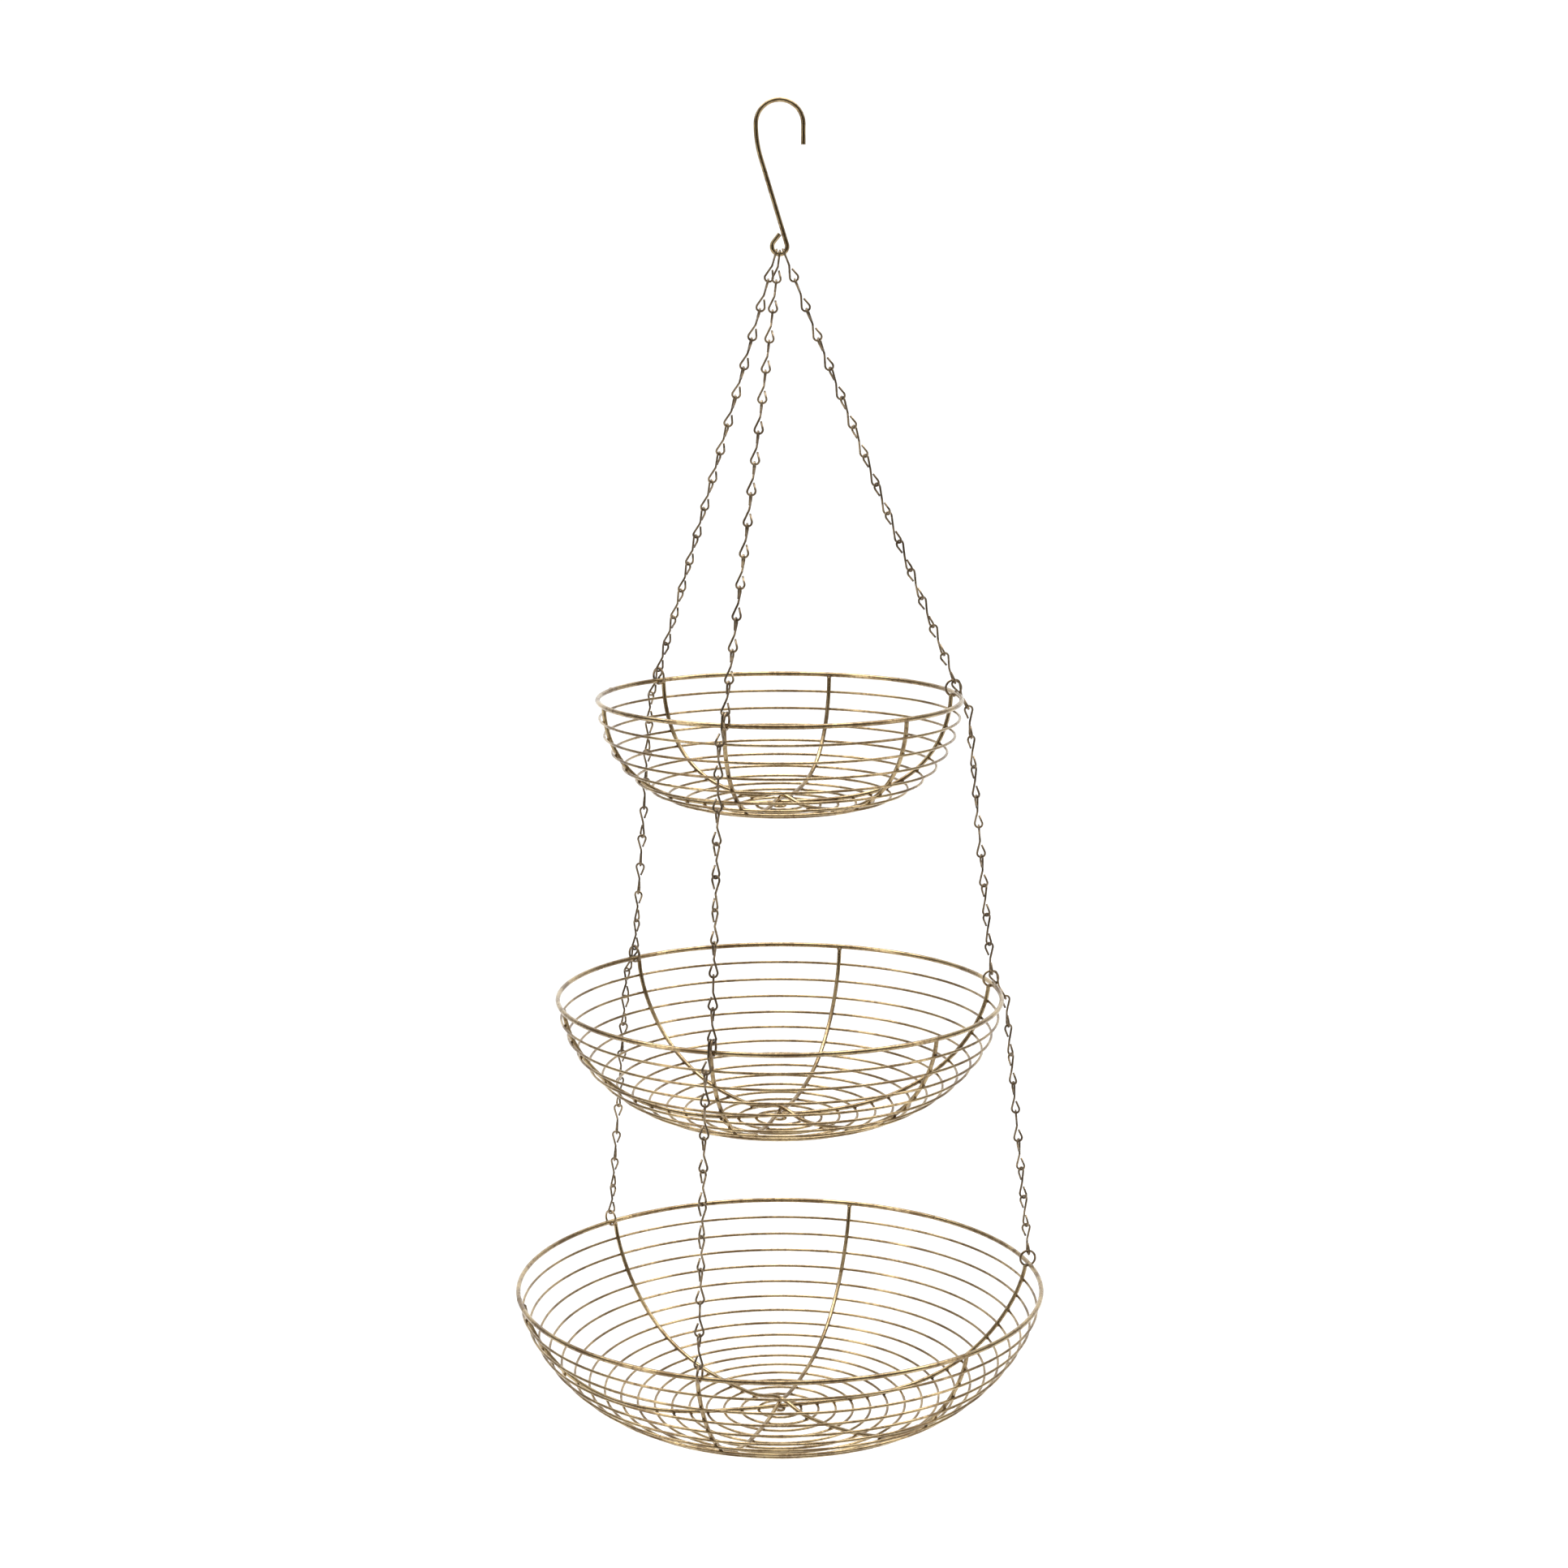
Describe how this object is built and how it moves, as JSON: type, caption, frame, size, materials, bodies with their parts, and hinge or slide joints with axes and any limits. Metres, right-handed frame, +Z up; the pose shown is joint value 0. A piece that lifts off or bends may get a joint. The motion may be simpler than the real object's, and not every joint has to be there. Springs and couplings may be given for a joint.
{
  "type": "hanging wire produce basket",
  "caption": "Hanging tiered basket: round wire bowls of growing width carried one below another by twisted-link chains from an S-hook.",
  "frame": {"origin": "inside top of the hook's arch region, where it bears on a rod: on the hook's axis, level with the arch's wire", "axes": "+Z up along the hanging line, hook lies in the XZ plane with its open mouth towards +X, front towards -Y"},
  "size_m": [0.302, 0.302, 0.7439],
  "materials": {
    "basket_wire": "bright antique gold plating",
    "chain_wire": "dark bronze plating",
    "ring_wire": "dark bronze plating"
  },
  "bodies": {
    "hook": {"hook": "basket_wire"},
    "top_basket": {"upper_chain_right": "chain_wire", "upper_chain_rear_left": "chain_wire", "upper_chain_front_left": "chain_wire", "top_rim": "basket_wire", "top_ring_right": "ring_wire", "top_ring_rear_left": "ring_wire", "top_ring_front_left": "ring_wire", "top_rib_1": "basket_wire", "top_rib_2": "basket_wire", "top_rib_3": "basket_wire", "top_hoops_1_2": "basket_wire", "top_hoops_3_4": "basket_wire", "top_hoops_5_6": "basket_wire", "top_hoops_7_8": "basket_wire", "top_hoops_9_10": "basket_wire", "top_hoops_11_12": "basket_wire", "top_hoops_13_13": "basket_wire"},
    "middle_chain_right": {"middle_chain_right": "chain_wire"},
    "middle_basket": {"middle_lead_link_right": "chain_wire", "middle_lead_link_rear_left": "chain_wire", "middle_lead_link_front_left": "chain_wire", "middle_rim": "basket_wire", "middle_ring_right": "ring_wire", "middle_ring_rear_left": "ring_wire", "middle_ring_front_left": "ring_wire", "middle_rib_1": "basket_wire", "middle_rib_2": "basket_wire", "middle_rib_3": "basket_wire", "middle_hoops_1_2": "basket_wire", "middle_hoops_3_4": "basket_wire", "middle_hoops_5_6": "basket_wire", "middle_hoops_7_8": "basket_wire", "middle_hoops_9_10": "basket_wire", "middle_hoops_11_12": "basket_wire", "middle_hoops_13_14": "basket_wire", "middle_hoops_15_15": "basket_wire"},
    "middle_chain_rear_left": {"middle_chain_rear_left": "chain_wire"},
    "middle_chain_front_left": {"middle_chain_front_left": "chain_wire"},
    "lower_chain_right": {"lower_chain_right": "chain_wire"},
    "bottom_basket": {"bottom_rim": "basket_wire", "bottom_ring_right": "ring_wire", "bottom_ring_rear_left": "ring_wire", "bottom_ring_front_left": "ring_wire", "bottom_rib_1": "basket_wire", "bottom_rib_2": "basket_wire", "bottom_rib_3": "basket_wire", "bottom_hoops_1_2": "basket_wire", "bottom_hoops_3_4": "basket_wire", "bottom_hoops_5_6": "basket_wire", "bottom_hoops_7_8": "basket_wire", "bottom_hoops_9_10": "basket_wire", "bottom_hoops_11_12": "basket_wire", "bottom_hoops_13_14": "basket_wire", "bottom_hoops_15_16": "basket_wire", "bottom_hoops_17_18": "basket_wire"},
    "lower_chain_rear_left": {"lower_chain_rear_left": "chain_wire"},
    "lower_chain_front_left": {"lower_chain_front_left": "chain_wire"}
  },
  "joints": [
    {"name": "side_swing", "type": "hinge", "parent": "hook", "child": "top_basket", "pos_m": [0, 0, -0.077], "axis": [0, 1, 0], "range_deg": [-12, 12]},
    {"name": "middle_sway", "type": "hinge", "parent": "top_basket", "child": "middle_chain_right", "pos_m": [0.10665, 0.02529, -0.33405], "axis": [0, 1, 0], "range_deg": [-8, 8]},
    {"name": "middle_basket_level", "type": "hinge", "parent": "middle_chain_right", "child": "middle_basket", "pos_m": [0.12164, 0.02944, -0.48809], "axis": [0, 1, 0], "range_deg": [-10, 10]},
    {"name": "middle_chain_rear_left_turn", "type": "hinge", "parent": "middle_basket", "child": "middle_chain_rear_left", "pos_m": [-0.08632, 0.09062, -0.48809], "axis": [0, 1, 0], "range_deg": [-10, 10]},
    {"name": "middle_chain_front_left_turn", "type": "hinge", "parent": "middle_basket", "child": "middle_chain_front_left", "pos_m": [-0.03532, -0.12007, -0.48809], "axis": [0, 1, 0], "range_deg": [-10, 10]},
    {"name": "bottom_sway", "type": "hinge", "parent": "middle_basket", "child": "lower_chain_right", "pos_m": [0.13004, 0.03069, -0.50382], "axis": [0, 1, 0], "range_deg": [-8, 8]},
    {"name": "bottom_basket_level", "type": "hinge", "parent": "lower_chain_right", "child": "bottom_basket", "pos_m": [0.14552, 0.03495, -0.65781], "axis": [0, 1, 0], "range_deg": [-10, 10]},
    {"name": "lower_chain_rear_left_turn", "type": "hinge", "parent": "bottom_basket", "child": "lower_chain_rear_left", "pos_m": [-0.10303, 0.10854, -0.65781], "axis": [0, 1, 0], "range_deg": [-10, 10]},
    {"name": "lower_chain_front_left_turn", "type": "hinge", "parent": "bottom_basket", "child": "lower_chain_front_left", "pos_m": [-0.04249, -0.1435, -0.65781], "axis": [0, 1, 0], "range_deg": [-10, 10]}
  ],
  "couplings": [
    {"joint": "middle_basket_level", "follows": "middle_sway", "ratio": -0.8748},
    {"joint": "middle_chain_rear_left_turn", "follows": "middle_sway", "ratio": 0.8748},
    {"joint": "middle_chain_front_left_turn", "follows": "middle_sway", "ratio": 0.8746},
    {"joint": "bottom_basket_level", "follows": "bottom_sway", "ratio": -0.892},
    {"joint": "lower_chain_rear_left_turn", "follows": "bottom_sway", "ratio": 0.892},
    {"joint": "lower_chain_front_left_turn", "follows": "bottom_sway", "ratio": 0.8906}
  ]
}
